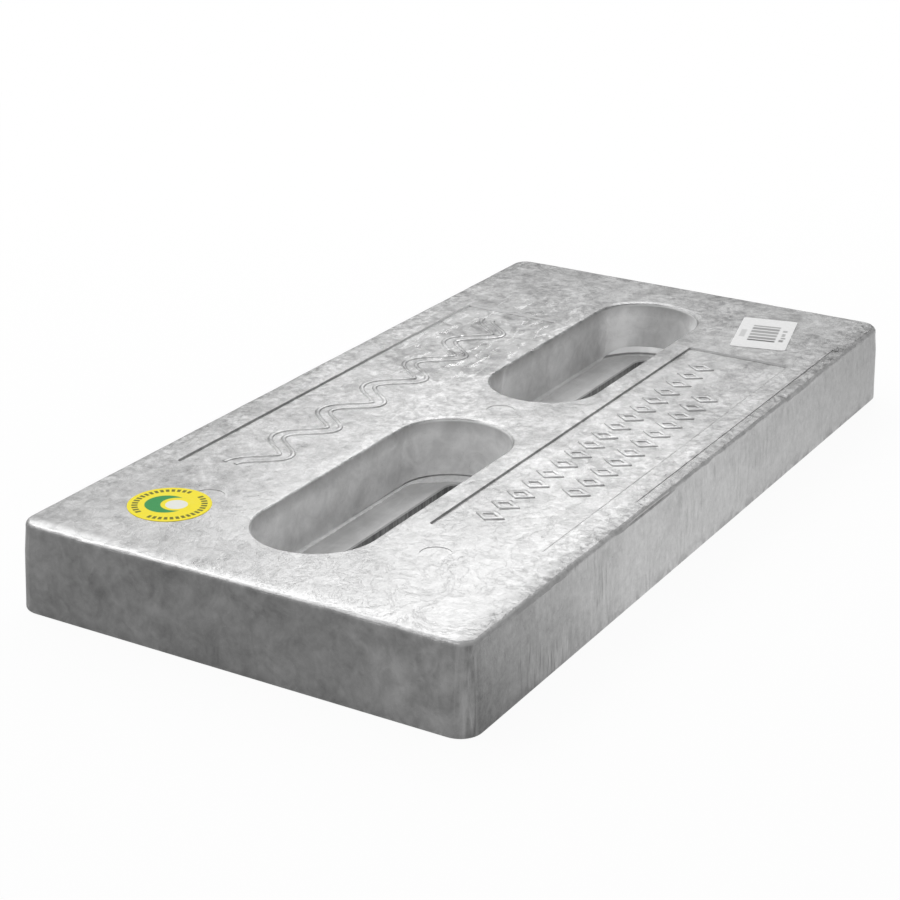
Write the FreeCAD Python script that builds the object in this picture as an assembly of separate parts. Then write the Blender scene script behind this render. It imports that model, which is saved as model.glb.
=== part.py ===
import FreeCAD, Part
import math
import os

V = FreeCAD.Vector

# Overall block, as cast. Millimetres. X runs along the length, Z up from the hull face at z = 0.
LENGTH = 305.0
WIDTH = 152.4
THICKNESS = 28.0
DRAFT = 1.0
CORNER_R = 7.0
TOP_EDGE_R = 2.0
BOTTOM_EDGE_R = 0.8

# The bolt slots in the steel core strap, in a row along X
SLOT_SPACING = 140.0
SLOT_LENGTH = 102.8
SLOT_WIDTH = 13.0
SLOT_EDGE_BREAK = 0.4

# The long recesses over the bolt slots, with room for a washer all round, and their walls
SEAT_SIDE = 12.4
SEAT_END = 6.0
RECESS_DRAFT = 0.4
RECESS_RIM_R = 1.0
RECESS_FOOT = 0.8

# The core strap, and how far the casting holds it past the recesses
STRAP_THICKNESS = 5.0
STRAP_UNDERSIDE = 3.2
STRAP_SIDE_HOLD = 5.7
STRAP_END_HOLD = 13.9
STRAP_CORNER_R = 6.0

# The shallow pockets between the strap and the hull
UNDER_SIDE = 10.3
UNDER_END = 3.9
UNDER_DRAFT = 0.3

# The shallow plain panels sunk in the outer face, one on each side of the recesses
PANEL_LENGTH = 180.8
PANEL_WIDTH = 37.0
PANEL_DEPTH = 0.7
PANEL_GAP = 7.6
PANEL_SLOPE = 0.25
PANEL_CORNER_R = 1.0

# Round marks left by the pins that push the casting out of the mould: one central, two at the near end
PIN_MARK_R = 4.8
PIN_MARK_DEPTH = 0.15
PIN_MARK_X = 107.3
PIN_MARK_Y = 39.0

# The low step where the edge strip was trimmed, along part of the near long edge
STEP_WIDTH = 4.6
STEP_DEPTH = 0.2
STEP_NEAR_END = 106.5
STEP_FAR_END = 37.5

# The round sticker and the oblong label on the outer face, placed in from the block's edges
STICKER_R = 12.4
STICKER_IN_X = 32.7
STICKER_IN_Y = 30.4
STICKER_THICKNESS = 0.12
LABEL_LENGTH = 33.0
LABEL_WIDTH = 19.6
LABEL_CORNER_R = 1.4
LABEL_IN_X = 34.0
LABEL_IN_Y = 32.0
LABEL_TURN = 14.0
LABEL_THICKNESS = 0.12

# What follows from the sizes above
FACE_LENGTH = LENGTH - 2 * DRAFT
FACE_WIDTH = WIDTH - 2 * DRAFT
SLOT_CENTRES = (-SLOT_SPACING / 2.0, SLOT_SPACING / 2.0)
RECESS_LENGTH = SLOT_LENGTH + 2 * SEAT_END
RECESS_WIDTH = SLOT_WIDTH + 2 * SEAT_SIDE
STRAP_TOP = STRAP_UNDERSIDE + STRAP_THICKNESS
STRAP_LENGTH = SLOT_SPACING + RECESS_LENGTH + 2 * STRAP_END_HOLD
STRAP_WIDTH = RECESS_WIDTH + 2 * STRAP_SIDE_HOLD
UNDER_LENGTH = SLOT_LENGTH + 2 * UNDER_END
UNDER_WIDTH = SLOT_WIDTH + 2 * UNDER_SIDE


def rounded_rectangle(length, width, radius, z):
    """A closed wire, centred on the Z axis, with round corners."""
    a = length / 2.0
    b = width / 2.0
    r = radius
    k = r * (1.0 - math.sqrt(0.5))
    edges = [
        Part.makeLine(V(-a + r, -b, z), V(a - r, -b, z)),
        Part.Arc(V(a - r, -b, z), V(a - k, -b + k, z), V(a, -b + r, z)).toShape(),
        Part.makeLine(V(a, -b + r, z), V(a, b - r, z)),
        Part.Arc(V(a, b - r, z), V(a - k, b - k, z), V(a - r, b, z)).toShape(),
        Part.makeLine(V(a - r, b, z), V(-a + r, b, z)),
        Part.Arc(V(-a + r, b, z), V(-a + k, b - k, z), V(-a, b - r, z)).toShape(),
        Part.makeLine(V(-a, b - r, z), V(-a, -b + r, z)),
        Part.Arc(V(-a, -b + r, z), V(-a + k, -b + k, z), V(-a + r, -b, z)).toShape(),
    ]
    return Part.Wire(edges)


def long_hole(length, width, z):
    """A closed wire with straight sides along X and full half-round ends."""
    r = width / 2.0
    c = length / 2.0 - r
    edges = [
        Part.makeLine(V(-c, -r, z), V(c, -r, z)),
        Part.Arc(V(c, -r, z), V(c + r, 0, z), V(c, r, z)).toShape(),
        Part.makeLine(V(c, r, z), V(-c, r, z)),
        Part.Arc(V(-c, r, z), V(-c - r, 0, z), V(-c, -r, z)).toShape(),
    ]
    return Part.Wire(edges)


def between(low, high):
    """The solid with straight sides from one wire to the other."""
    return Part.makeLoft([low, high], True, True)


def at_each_slot(tool):
    """The same solid once for each bolt slot."""
    copies = []
    for x in SLOT_CENTRES:
        copy = tool.copy()
        copy.translate(V(x, 0, 0))
        copies.append(copy)
    return copies


def edges_at(shape, z, inside):
    """The edges that lie wholly at height z and whose middle passes the given test."""
    found = []
    for edge in shape.Edges:
        box = edge.BoundBox
        if abs(box.ZMin - z) > 1e-4 or abs(box.ZMax - z) > 1e-4:
            continue
        middle = edge.valueAt((edge.FirstParameter + edge.LastParameter) / 2.0)
        if inside(middle):
            found.append(edge)
    return found


def drafted_body():
    """The block's outline: sides that slope in towards the outer face, all edges rounded."""
    low = rounded_rectangle(LENGTH, WIDTH, CORNER_R, 0.0)
    high = rounded_rectangle(FACE_LENGTH, FACE_WIDTH, CORNER_R - DRAFT, THICKNESS)
    body = between(low, high)
    body = body.makeFillet(TOP_EDGE_R, edges_at(body, THICKNESS, lambda p: True))
    return body.makeFillet(BOTTOM_EDGE_R, edges_at(body, 0.0, lambda p: True))


def recess_tool():
    """What the mould's core leaves open above the strap: drafted walls on a sloped foot."""
    foot_z = STRAP_TOP + RECESS_FOOT
    floor_in = 2 * RECESS_DRAFT + 2 * RECESS_FOOT
    foot_in = 2 * RECESS_DRAFT * (THICKNESS - foot_z) / (THICKNESS - STRAP_TOP)
    foot = between(
        long_hole(RECESS_LENGTH - floor_in, RECESS_WIDTH - floor_in, STRAP_TOP),
        long_hole(RECESS_LENGTH - foot_in, RECESS_WIDTH - foot_in, foot_z),
    )
    wall = between(
        long_hole(RECESS_LENGTH - foot_in, RECESS_WIDTH - foot_in, foot_z),
        long_hole(RECESS_LENGTH, RECESS_WIDTH, THICKNESS),
    )
    return foot.fuse(wall)


def under_tool():
    """The shallow pocket on the hull side, up to the strap."""
    return between(
        long_hole(UNDER_LENGTH + 2 * UNDER_DRAFT, UNDER_WIDTH + 2 * UNDER_DRAFT, 0.0),
        long_hole(UNDER_LENGTH, UNDER_WIDTH, STRAP_UNDERSIDE),
    )


def panel_tool(side):
    """A shallow sunk panel with slightly sloped sides, on one side of the recesses."""
    floor = THICKNESS - PANEL_DEPTH
    tool = between(
        rounded_rectangle(PANEL_LENGTH - 2 * PANEL_SLOPE, PANEL_WIDTH - 2 * PANEL_SLOPE,
                          PANEL_CORNER_R - PANEL_SLOPE, floor),
        rounded_rectangle(PANEL_LENGTH, PANEL_WIDTH, PANEL_CORNER_R, THICKNESS),
    )
    tool.translate(V(0, side * (RECESS_WIDTH / 2.0 + PANEL_GAP + PANEL_WIDTH / 2.0), 0))
    return tool


def pin_mark_tools():
    """The round pin marks: one in the middle and two towards the near corners."""
    places = [(0.0, 0.0), (-PIN_MARK_X, PIN_MARK_Y), (-PIN_MARK_X, -PIN_MARK_Y)]
    floor = THICKNESS - PIN_MARK_DEPTH
    return [Part.makeCylinder(PIN_MARK_R, PIN_MARK_DEPTH, V(x, y, floor)) for x, y in places]


def edge_step_tool():
    """The trimmed strip along the near long edge, a little lower than the face."""
    near_x = -FACE_LENGTH / 2.0 + STEP_NEAR_END
    far_x = FACE_LENGTH / 2.0 - STEP_FAR_END
    return Part.makeBox(
        far_x - near_x, STEP_WIDTH + DRAFT, STEP_DEPTH,
        V(near_x, -WIDTH / 2.0, THICKNESS - STEP_DEPTH),
    )


def strap_blank():
    """The strap's outline as a plain plate. The casting closes around this."""
    outline = rounded_rectangle(STRAP_LENGTH, STRAP_WIDTH, STRAP_CORNER_R, STRAP_UNDERSIDE)
    return Part.Face(outline).extrude(V(0, 0, STRAP_THICKNESS))


def anode_block():
    """The cast block: recesses, panels, pin marks and edge step, closed around the strap."""
    block = drafted_body()
    for tool in at_each_slot(recess_tool()):
        block = block.cut(tool)
    rims = edges_at(block, THICKNESS, lambda p: abs(p.y) < RECESS_WIDTH / 2.0 + 0.1)
    block = block.makeFillet(RECESS_RIM_R, rims)
    tools = at_each_slot(under_tool())
    tools += [strap_blank(), panel_tool(-1), panel_tool(1), edge_step_tool()]
    tools += pin_mark_tools()
    for tool in tools:
        block = block.cut(tool)
    return block


def core_strap():
    """The flat steel strap with its two long bolt slots, edges broken on the washer side."""
    plate = strap_blank()
    outline = long_hole(SLOT_LENGTH, SLOT_WIDTH, STRAP_UNDERSIDE)
    for tool in at_each_slot(Part.Face(outline).extrude(V(0, 0, STRAP_THICKNESS))):
        plate = plate.cut(tool)
    rims = edges_at(plate, STRAP_TOP, lambda p: abs(p.y) < SLOT_WIDTH / 2.0 + 0.1
                    and abs(p.x) < (SLOT_SPACING + SLOT_LENGTH) / 2.0 + 0.1)
    return plate.makeChamfer(SLOT_EDGE_BREAK, rims)


def round_sticker():
    """The thin round sticker, flat on the outer face."""
    x = -FACE_LENGTH / 2.0 + STICKER_IN_X
    y = FACE_WIDTH / 2.0 - STICKER_IN_Y
    return Part.makeCylinder(STICKER_R, STICKER_THICKNESS, V(x, y, THICKNESS))


def bar_label():
    """The thin oblong label with round corners, stuck on at a small angle."""
    outline = rounded_rectangle(LABEL_LENGTH, LABEL_WIDTH, LABEL_CORNER_R, THICKNESS)
    label = Part.Face(outline).extrude(V(0, 0, LABEL_THICKNESS))
    label.rotate(V(0, 0, 0), V(0, 0, 1), LABEL_TURN)
    label.translate(V(FACE_LENGTH / 2.0 - LABEL_IN_X, -FACE_WIDTH / 2.0 + LABEL_IN_Y, 0))
    return label


PIECES = {
    "anode_block": anode_block,
    "core_strap": core_strap,
    "round_sticker": round_sticker,
    "bar_label": bar_label,
}

os.makedirs("parts", exist_ok=True)
for name, build in PIECES.items():
    shape = build()
    if shape.ShapeType != "Solid" and len(shape.Solids) == 1:
        shape = shape.Solids[0]
    shape.exportStep("parts/" + name + ".step")
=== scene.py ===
import math

import bmesh
import bpy
from mathutils import Matrix, Vector, noise


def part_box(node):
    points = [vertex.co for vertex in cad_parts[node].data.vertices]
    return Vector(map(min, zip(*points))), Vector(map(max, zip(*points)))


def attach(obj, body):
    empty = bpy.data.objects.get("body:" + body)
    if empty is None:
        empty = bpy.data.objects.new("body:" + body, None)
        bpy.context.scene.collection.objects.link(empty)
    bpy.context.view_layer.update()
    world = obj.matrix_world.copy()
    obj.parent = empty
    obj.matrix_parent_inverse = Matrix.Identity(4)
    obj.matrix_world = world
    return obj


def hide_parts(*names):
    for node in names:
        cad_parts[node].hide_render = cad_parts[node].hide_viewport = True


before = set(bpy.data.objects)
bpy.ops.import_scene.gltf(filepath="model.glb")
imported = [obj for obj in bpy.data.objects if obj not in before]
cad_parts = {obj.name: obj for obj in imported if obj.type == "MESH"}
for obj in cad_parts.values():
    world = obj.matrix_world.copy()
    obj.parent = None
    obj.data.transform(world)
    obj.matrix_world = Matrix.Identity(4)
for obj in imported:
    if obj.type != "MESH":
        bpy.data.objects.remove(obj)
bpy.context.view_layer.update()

# The cast block. One aluminium alloy casting, poured in a metal mould around the steel strap, with dull
# cast skin, uneven upper edges and a trimmed strip along one long edge. It carries everything else.
MM = 0.001
X, Y, Z = 0, 1, 2
FACE_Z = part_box("anode_block")[1].z
FACE_HALF_X = 151.5 * MM
FACE_HALF_Y = 75.2 * MM
FACE_SKIM = 0.5 * MM
RECESS_X = 70.0 * MM
RECESS_HALF_LENGTH = 57.4 * MM
RECESS_HALF_WIDTH = 18.9 * MM
RECESS_HALF_STRAIGHT = RECESS_HALF_LENGTH - RECESS_HALF_WIDTH
RIM_R = 1.0 * MM
RIM_DEEP = 1.6 * MM
STRAP_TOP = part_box("core_strap")[1].z
# The bands along the upper edges that are cut finely, by their distance in from the edge and their heights
EDGE_BAND = 7.6 * MM
LONG_INSETS = (7.6, 6.4, 5.2, 4.2, 3.1)
SHORT_INSETS = (7.6, 6.2, 4.9, 3.8, 2.9)
SIDE_BAND_Z = 18.0 * MM
SIDE_ROWS = [z * MM for z in (18.0, 22.0, 24.0, 25.2, 25.7, 26.1, 26.5, 26.9)]
BAND_PITCH = 5.0 * MM
EDGE_CUTS = 3
SHORTEST_CUT = 1.5 * MM
WELD = 0.001 * MM
SMOOTH_ANGLE = math.radians(32)
# How far the waves, nicks and worn stretches of the edges reach
EDGE_ROUND = 2.0 * MM
LONG_FADE = 4.2 * MM
SHORT_FADE = 7.2 * MM
EDGE_WAVE = 0.20 * MM
EDGE_SPANS = (9.0, 3.6)
SHORT_SINK = 0.38 * MM
SINK_SPAN = 14.0
LONG_SINK = 0.26 * MM
STRIP_WAVE = 0.24 * MM
STRIP_TORN = (-60 * MM, -10 * MM)
TEAR_SPANS = (6.0, 2.2)
RIM_WAVE = 0.14 * MM
RIM_SPAN = 3.2
LIP_Z = 26.0 * MM
LIP_HIGH = 0.28 * MM
LIP_WIDTH = 0.35 * MM
LIPS = ((-128 * MM, -98 * MM), (-64 * MM, -28 * MM), (60 * MM, 84 * MM))
CRACK = (-56 * MM, -32 * MM)
CRACK_Z = 26.7 * MM
CRACK_WIDTH = 0.3 * MM
CRACK_DEPTH = 0.32 * MM
STRETCH_SOFT = 5 * MM
# The foot of the near recess stands back from the strap at its far end, from 30 to 44 mm past the middle
GAP_DEPTH = 1.6 * MM
GAP_BAND = 2.2 * MM
GAP_STRETCH = (30 * MM, 44 * MM)


def pick(pieces):
    """Selects these objects only, the first one active."""
    bpy.ops.object.select_all(action="DESELECT")
    for piece in pieces:
        piece.select_set(True)
    bpy.context.view_layer.objects.active = pieces[0]


def merged_copy(node, name):
    """A copy of a CAD node's mesh with its loose triangles joined up and no fixed normals."""
    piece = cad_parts[node].copy()
    piece.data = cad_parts[node].data.copy()
    piece.name = name
    piece.data.name = name
    piece.parent = None
    bpy.context.scene.collection.objects.link(piece)
    pick([piece])
    bpy.ops.object.transform_apply(location=True, rotation=True, scale=True)
    bpy.ops.mesh.customdata_custom_splitnormals_clear()
    bpy.ops.object.mode_set(mode="EDIT")
    bpy.ops.mesh.select_all(action="SELECT")
    bpy.ops.mesh.remove_doubles(threshold=WELD)
    bpy.ops.object.mode_set(mode="OBJECT")
    return piece


def evenly(low, high, pitch):
    """Places between low and high, about one pitch apart."""
    count = round((high - low) / pitch)
    return [low + (high - low) * i / count for i in range(1, count)]


def cut_across(piece, chosen, axis, places):
    """Cuts the faces whose middle passes the test by planes at these places along one axis."""
    pick([piece])
    for face in piece.data.polygons:
        face.select = chosen(face.center)
    bpy.ops.object.mode_set(mode="EDIT")
    bpy.ops.mesh.select_mode(type="FACE")
    bpy.ops.mesh.hide(unselected=True)
    for at in places:
        bpy.ops.mesh.select_all(action="SELECT")
        bpy.ops.mesh.bisect(
            plane_co=[at if i == axis else 0.0 for i in range(3)],
            plane_no=[1.0 if i == axis else 0.0 for i in range(3)],
            threshold=WELD,
        )
    bpy.ops.mesh.reveal(select=False)
    bpy.ops.object.mode_set(mode="OBJECT")


def divide_along(piece, chosen, axis, cuts):
    """Divides the edges that run mostly along one axis and whose middle passes the test."""
    pick([piece])
    bpy.ops.object.mode_set(mode="EDIT")
    bpy.ops.mesh.select_mode(type="EDGE")
    bpy.ops.mesh.select_all(action="DESELECT")
    shape = bmesh.from_edit_mesh(piece.data)
    for edge in shape.edges:
        run = edge.verts[1].co - edge.verts[0].co
        if abs(run[axis]) > 0.9 * run.length and run.length > SHORTEST_CUT:
            edge.select_set(chosen((edge.verts[0].co + edge.verts[1].co) / 2))
    bmesh.update_edit_mesh(piece.data)
    bpy.ops.mesh.subdivide(number_cuts=cuts)
    bpy.ops.object.mode_set(mode="OBJECT")


def ramp(value, start, end):
    """0 before start, 1 after end, smooth between."""
    t = min(1.0, max(0.0, (value - start) / (end - start)))
    return t * t * (3 - 2 * t)


def hump(value, middle, width):
    """1 at the middle, falling off smoothly over this width."""
    return math.exp(-((value - middle) / width) ** 2)


def on_stretch(value, ends, soft):
    """1 between the two ends, 0 outside them, smooth over the soft length."""
    leaving = ramp(value, ends[1] - soft, ends[1] + soft)
    return ramp(value, ends[0] - soft, ends[0] + soft) * (1 - leaving)


def outside_recess(point):
    """Distance in the plan from a recess's straight-sided outline, negative inside it."""
    x = abs(point.x) - RECESS_X
    along = max(0.0, abs(x) - RECESS_HALF_STRAIGHT)
    return math.hypot(along, point.y) - RECESS_HALF_WIDTH


def recess_outward(point):
    """The direction in the plan that leaves a recess, at a point on its outline."""
    x = point.x - math.copysign(RECESS_X, point.x)
    along = x - max(-RECESS_HALF_STRAIGHT, min(RECESS_HALF_STRAIGHT, x))
    return Vector((along, point.y, 0)).normalized()


def on_outside(point):
    """Whether a point is in the finely cut band along the block's outline."""
    return abs(point.y) > FACE_HALF_Y - EDGE_BAND or abs(point.x) > FACE_HALF_X - EDGE_BAND


def in_long_band(point):
    """Whether a point is in the band along a long upper edge."""
    return abs(point.y) > FACE_HALF_Y - EDGE_BAND and point.z > SIDE_BAND_Z


def in_short_band(point):
    """Whether a point is in the band along a short upper edge."""
    return abs(point.x) > FACE_HALF_X - EDGE_BAND and point.z > SIDE_BAND_Z


def on_face(point):
    """Whether a point is at the outer face, and not below it."""
    return point.z > FACE_Z - FACE_SKIM


def on_rim(point):
    """Whether a point is on a recess's rounded rim."""
    return -0.2 * MM < outside_recess(point) < RIM_R + 0.1 * MM and point.z > FACE_Z - RIM_DEEP


def moves_with_rim(point):
    """The rounded rim below the flat face, so that the face itself stays flat."""
    return on_rim(point) and point.z < FACE_Z - 0.04 * MM


# Nicks in the upper edges and the recess rims: x, y, radius and depth in mm
NICKS = (
    (-12.6, 4.2, 1.8, 0.4), (-13.8, 9.6, 1.4, 0.3), (36.5, 19.3, 1.5, 0.45), (127.6, 2.6, 1.8, 0.4),
    (124.4, 11.0, 1.6, 0.3), (-60.0, 19.4, 1.4, 0.25), (18.6, 12.0, 1.5, 0.3),
    (62.0, -74.0, 2.0, 0.45), (14.5, -74.6, 2.4, 0.5), (-24.0, -74.6, 3.0, 0.5),
    (-66.0, -74.5, 3.4, 0.4), (-104.0, -74.6, 2.8, 0.35), (96.0, -74.8, 2.2, 0.35),
    (118.0, -74.5, 1.8, 0.3), (-151.0, 34.0, 2.6, 0.3), (-151.0, -28.0, 2.2, 0.25),
    (-151.2, 60.0, 1.8, 0.3),
)


def rolled_over(inset, upper):
    """The share of an upper edge's sink at this distance in from the edge: full at the rounding."""
    share = (inset - SHORT_FADE) / (EDGE_ROUND - SHORT_FADE)
    return upper * min(1.0, max(0.0, share)) ** 2


def strip_wear(p, q):
    """How deep the trimmed long edge is torn, and how far it is cracked in or stands out in lips."""
    torn = 0.08 + 0.92 * ramp(p.x, *STRIP_TORN)
    tear = abs(noise.noise(Vector((q.x / TEAR_SPANS[0], (q.y + q.z) / TEAR_SPANS[1], 3.0))))
    lip = sum(on_stretch(p.x, ends, STRETCH_SOFT) for ends in LIPS)
    lip *= 0.6 + 0.4 * noise.noise(Vector((q.x / TEAR_SPANS[0], 1.0, 5.0)))
    crack = on_stretch(p.x, CRACK, STRETCH_SOFT) * hump(p.z, CRACK_Z, CRACK_WIDTH)
    lip *= hump(p.z, LIP_Z, LIP_WIDTH)
    return STRIP_WAVE * torn * tear, CRACK_DEPTH * crack - LIP_HIGH * lip


def roughen(piece):
    """Moves the block's upper edges and rims a little: waves, nicks, the trimmed edge's lips and crack."""
    mesh = piece.data
    normals = [v.normal.copy() for v in mesh.vertices]
    for vertex, normal in zip(mesh.vertices, normals):
        p = vertex.co.copy()
        on_foot = abs(p.z - STRAP_TOP) < 0.02 * MM and -GAP_BAND < outside_recess(p) < 0
        if on_foot and p.x < 0:
            far_end = ramp(p.x + RECESS_X, *GAP_STRETCH)
            vertex.co = p + recess_outward(p) * GAP_DEPTH * far_end
            continue
        q = p / MM
        depth = 0.0
        upper = ramp(p.z, SIDE_BAND_Z, FACE_Z - EDGE_ROUND)
        long_edge = upper * (1 - ramp(FACE_HALF_Y - abs(p.y), EDGE_ROUND, LONG_FADE))
        short_edge = rolled_over(FACE_HALF_X - abs(p.x), upper)
        near_edge = max(long_edge, short_edge)
        if near_edge > 0:
            ripple = 0.8 * noise.noise(q / EDGE_SPANS[0] + Vector((2, 9, 4)))
            ripple += 0.2 * noise.noise(q / EDGE_SPANS[1])
            depth += EDGE_WAVE * (0.5 + 0.5 * ripple) * near_edge
            if p.x < 0:
                depth += SHORT_SINK * (0.7 + 0.6 * noise.noise(q / SINK_SPAN)) * short_edge
            if p.y < 0:
                depth += LONG_SINK * rolled_over(FACE_HALF_Y - abs(p.y), upper)
        if p.y < EDGE_BAND - FACE_HALF_Y and near_edge > 0:
            torn, cracked = strip_wear(p, q)
            depth += torn * near_edge + cracked
        if moves_with_rim(p):
            depth += RIM_WAVE * (0.5 + 0.5 * noise.noise(q / RIM_SPAN + Vector((1, 5, 8))))
        if near_edge > 0.3 or moves_with_rim(p):
            for x, y, radius, dent in NICKS:
                away = math.hypot(q.x - x, q.y - y) / radius
                if away < 1:
                    depth += dent * MM * (1 - away * away) ** 2
        vertex.co = p - normal * depth
    mesh.update()


cast_block = merged_copy("anode_block", "cast_block")
long_lines = [side * (FACE_HALF_Y - inset * MM) for side in (-1, 1) for inset in LONG_INSETS]
short_lines = [side * (FACE_HALF_X - inset * MM) for side in (-1, 1) for inset in SHORT_INSETS]
cut_across(cast_block, on_face, Y, long_lines)
cut_across(cast_block, on_face, X, short_lines)
cut_across(cast_block, on_outside, Z, SIDE_ROWS)
cut_across(cast_block, in_long_band, X, evenly(-FACE_HALF_X, FACE_HALF_X, BAND_PITCH))
cut_across(cast_block, in_short_band, Y, evenly(-FACE_HALF_Y, FACE_HALF_Y, BAND_PITCH))
cut_across(cast_block, on_rim, X, evenly(-FACE_HALF_X, FACE_HALF_X, BAND_PITCH))
divide_along(cast_block, in_long_band, X, EDGE_CUTS)
divide_along(cast_block, in_short_band, Y, EDGE_CUTS)
divide_along(cast_block, on_rim, X, EDGE_CUTS)
roughen(cast_block)
pick([cast_block])
bpy.ops.object.mode_set(mode="EDIT")
bpy.ops.mesh.select_all(action="SELECT")
bpy.ops.mesh.quads_convert_to_tris(quad_method="BEAUTY", ngon_method="BEAUTY")
bpy.ops.object.mode_set(mode="OBJECT")
bpy.ops.object.shade_smooth_by_angle(angle=SMOOTH_ANGLE)


def shader_tree(name):
    """A new material with only a Principled BSDF and its output."""
    material = bpy.data.materials.new(name)
    material.use_nodes = True
    tree = material.node_tree
    surface = next(n for n in tree.nodes if n.type == "BSDF_PRINCIPLED")
    return material, tree, surface


def put(tree, kind, inputs=None, **settings):
    """One shader node: settings are its own values, inputs its sockets' values or links."""
    new = tree.nodes.new(kind)
    for key, value in settings.items():
        setattr(new, key, value)
    for key, value in (inputs or {}).items():
        if isinstance(value, bpy.types.NodeSocket):
            tree.links.new(value, new.inputs[key])
        else:
            new.inputs[key].default_value = value
    return new


def maths(tree, operation, first, second=0.0, third=0.0):
    """A Math node's output."""
    return put(tree, "ShaderNodeMath", {0: first, 1: second, 2: third}, operation=operation).outputs[0]


def times(tree, *values):
    """All the values multiplied."""
    total = values[0]
    for value in values[1:]:
        total = maths(tree, "MULTIPLY", total, value)
    return total


def weighed(tree, *pairs):
    """The sum of each value times its weight."""
    total = 0.0
    for value, weight in pairs:
        total = maths(tree, "MULTIPLY_ADD", value, weight, total)
    return total


def from_level(tree, value, level):
    """How far a value is from a level, either way."""
    return maths(tree, "ABSOLUTE", maths(tree, "SUBTRACT", value, level))


def vectors(tree, operation, first, second=(0, 0, 0)):
    """A Vector Math node's vector."""
    return put(tree, "ShaderNodeVectorMath", {0: first, 1: second}, operation=operation).outputs["Vector"]


def length_of(tree, vector):
    """A vector's length."""
    return put(tree, "ShaderNodeVectorMath", {0: vector}, operation="LENGTH").outputs["Value"]


def scaled(tree, place, size, turn=(0, 0, 0), shift=(0, 0, 0)):
    """The place on the piece in mm times a size, one number or one for each axis, turned and shifted."""
    sizes = size if isinstance(size, tuple) else (size, size, size)
    inputs = {"Vector": place, "Scale": tuple(s / MM for s in sizes), "Rotation": turn, "Location": shift}
    return put(tree, "ShaderNodeMapping", inputs).outputs[0]


def grain(tree, place, size, detail=4.0, roughness=0.55, distortion=0.0, **moved):
    """Noise from 0 to 1 with about this many lumps to the mm, one number or one for each axis."""
    inputs = {"Vector": scaled(tree, place, size, **moved), "Scale": 1.0, "Detail": detail,
              "Roughness": roughness, "Distortion": distortion}
    return put(tree, "ShaderNodeTexNoise", inputs).outputs["Fac"]


def spread(tree, value, low, high, to_low=0.0, to_high=1.0):
    """Maps low..high to to_low..to_high, held at the ends."""
    inputs = {"Value": value, "From Min": low, "From Max": high, "To Min": to_low, "To Max": to_high}
    return put(tree, "ShaderNodeMapRange", inputs).outputs[0]


def fading(tree, value, low, high):
    """1 up to low, then falling evenly to 0 at high."""
    return spread(tree, value, low, high, 1.0, 0.0)


def grey(level):
    """A grey colour."""
    return (level, level, level, 1.0)


def blend_colour(tree, factor, first, second, way="MIX"):
    """Two colours mixed by a factor."""
    new = put(tree, "ShaderNodeMix", data_type="RGBA", blend_type=way)
    for key, value in ((0, factor), (6, first), (7, second)):
        if isinstance(value, bpy.types.NodeSocket):
            tree.links.new(value, new.inputs[key])
        else:
            new.inputs[key].default_value = value
    return new.outputs[2]


def toned(tree, value, tones):
    """From the first grey at 0 to the second at 1."""
    return blend_colour(tree, value, grey(tones[0]), grey(tones[1]))


def tinted(tree, colour, mask, strength, level):
    """A colour drawn towards one grey where the mask is 1, by this strength."""
    return blend_colour(tree, times(tree, mask, strength), colour, grey(level))


def shaded(tree, colour, shade):
    """A colour times a shade."""
    return blend_colour(tree, 1.0, colour, shade, "MULTIPLY")


def give_relief(tree, surface, height, distance):
    """Bumps the surface by a height from 0 to 1, at this real depth."""
    bump = put(tree, "ShaderNodeBump", {"Height": height, "Strength": 1.0, "Distance": distance})
    tree.links.new(bump.outputs[0], surface.inputs["Normal"])


def effect_group(name, inputs, outputs):
    """An empty shader node group with these sockets, its input node and its output node."""
    group = bpy.data.node_groups.new(name, "ShaderNodeTree")
    for socket, kind in inputs:
        group.interface.new_socket(name=socket, in_out="INPUT", socket_type=kind)
    for socket in outputs:
        group.interface.new_socket(name=socket, in_out="OUTPUT", socket_type="NodeSocketFloat")
    return group, group.nodes.new("NodeGroupInput"), group.nodes.new("NodeGroupOutput")


# Noise in the metal: lumps to the mm, shift, detail, roughness and distortion
METAL_NOISE = {
    "Cloud": (0.045, (0, 0, 0), 4.0, 0.50, 1.0),
    "Mottle": (0.13, (0, 0, 0), 4.0, 0.50, 1.4),
    "Crumple": (0.42, (2, 7, 4), 5.0, 0.66, 0.4),
    "Fold": (0.09, (3, 5, 1), 5.0, 0.60, 1.6),
    "Fine": (1.1, (0, 0, 0), 3.0, 0.62, 0.0),
}
FOLD_HALF = 0.022
# Round specks in the metal: specks to the mm, shift, and the radius where each starts to fade and is gone
METAL_SPECKS = {
    "Pit": (0.2, (0, 0, 0), 0.04, 0.10),
    "Glint": (0.33, (4, 9, 2), 0.05, 0.16),
}


def metal_grain():
    """The uneven look of plain metal, used by the casting and the strap: clouds to specks, each 0 to 1."""
    outputs = (*METAL_NOISE, *METAL_SPECKS)
    group, given, result = effect_group("metal_grain", [("Place", "NodeSocketVector")], outputs)
    place = given.outputs["Place"]
    for name, (size, shift, detail, roughness, distortion) in METAL_NOISE.items():
        value = grain(group, place, size, detail, roughness, distortion, shift=shift)
        if name == "Fold":
            value = fading(group, from_level(group, value, 0.5), 0.0, FOLD_HALF)
        group.links.new(value, result.inputs[name])
    for name, (size, shift, fades_from, gone) in METAL_SPECKS.items():
        specks = put(group, "ShaderNodeTexVoronoi", {"Vector": scaled(group, place, size, shift=shift)})
        group.links.new(fading(group, specks.outputs["Distance"], fades_from, gone), result.inputs[name])
    return group


METAL_GRAIN = metal_grain()


def grain_values(tree, place):
    """The metal grain group's outputs at a place on the piece."""
    node = put(tree, "ShaderNodeGroup", node_tree=METAL_GRAIN)
    tree.links.new(place, node.inputs["Place"])
    return node.outputs


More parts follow.
